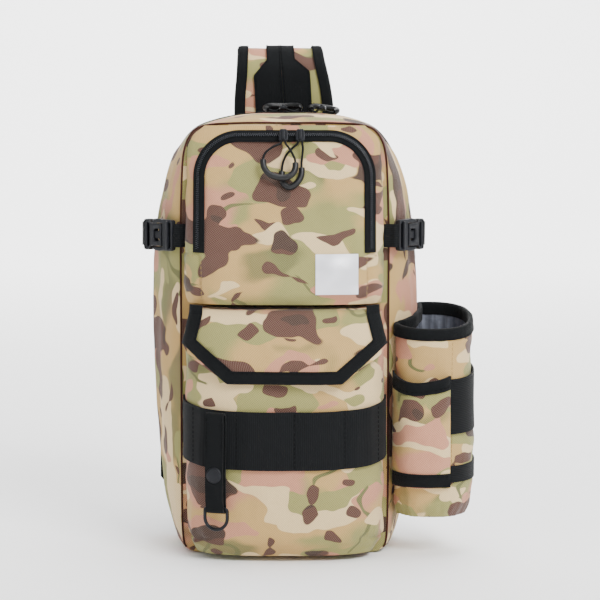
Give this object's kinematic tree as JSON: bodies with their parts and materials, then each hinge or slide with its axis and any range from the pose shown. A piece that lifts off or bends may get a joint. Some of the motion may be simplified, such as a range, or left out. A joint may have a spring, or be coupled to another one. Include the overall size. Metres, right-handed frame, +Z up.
{
  "type": "fishing tackle sling bag",
  "caption": "Upright one-shoulder tackle bag with a padded back, stacked front pockets, a webbing band with a hanging ring, and a bottle holder at one side.",
  "frame": {"origin": "middle of the main compartment's flat base", "axes": "+Z up, -Y out of the front pockets, +X towards the bottle holder"},
  "size_m": [0.2918, 0.2599, 0.4484],
  "materials": {
    "camouflage": "coarse woven polyester in printed camouflage",
    "black_cloth": "black binding tape, air mesh and zip tape",
    "black_webbing": "ribbed black webbing",
    "zip_coil": "nylon coil",
    "label": "bare silver-white patch",
    "lining": "silver-grey foil cloth, gathered",
    "moulded": "satin moulded acetal",
    "dark_metal": "dark painted metal",
    "cord": "braided cord",
    "grip": "smooth rubber tube"
  },
  "bodies": {
    "bag": {"main_body": "camouflage", "upper_pocket": "camouflage", "lower_pocket": "camouflage", "flap": "camouflage", "bottle_pocket": "camouflage", "tool_pocket": "camouflage", "shoulder_strap": "camouflage", "back_panel": "black_cloth", "front_piping": "black_cloth", "main_zip_tape": "black_cloth", "upper_zip_tape": "black_cloth", "flap_binding": "black_cloth", "bottle_rim_binding": "black_cloth", "tool_top_binding": "black_cloth", "strap_binding_left": "black_cloth", "strap_binding_right": "black_cloth", "anchor_wing": "black_cloth", "main_zip_coil": "zip_coil", "upper_zip_coil": "zip_coil", "webbing_band": "black_webbing", "hanging_loop": "black_webbing", "left_webbing_front": "black_webbing", "left_webbing_rear": "black_webbing", "right_webbing_front": "black_webbing", "right_webbing_rear": "black_webbing", "side_elastic_band": "black_webbing", "lower_elastic_band": "black_webbing", "strap_top_webbing": "black_webbing", "strap_tail_webbing": "black_webbing", "label_patch": "label", "bottle_lining": "lining", "left_buckle_male": "moulded", "left_buckle_female": "moulded", "right_buckle_male": "moulded", "right_buckle_female": "moulded", "strap_adjuster": "moulded", "snap_cap": "dark_metal", "upper_slider_left": "dark_metal", "upper_slider_right": "dark_metal", "main_slider_left": "dark_metal", "main_slider_right": "dark_metal", "upper_pull_cord_down_left": "cord", "upper_pull_cord_up_left": "cord", "upper_pull_cord_down_right": "cord", "upper_pull_cord_up_right": "cord", "main_pull_cord_down_left": "cord", "main_pull_cord_up_left": "cord", "main_pull_cord_down_right": "cord", "main_pull_cord_up_right": "cord", "upper_pull_grip_left": "grip", "upper_pull_grip_right": "grip", "main_pull_grip_left": "grip", "main_pull_grip_right": "grip"},
    "ring": {"d_ring": "dark_metal"}
  },
  "joints": [
    {"name": "ring_swing", "type": "hinge", "parent": "bag", "child": "ring", "pos_m": [-0.05833, -0.09789, 0.049], "axis": [-0.9397, 0.342, 0], "range_deg": [0, 110]}
  ]
}
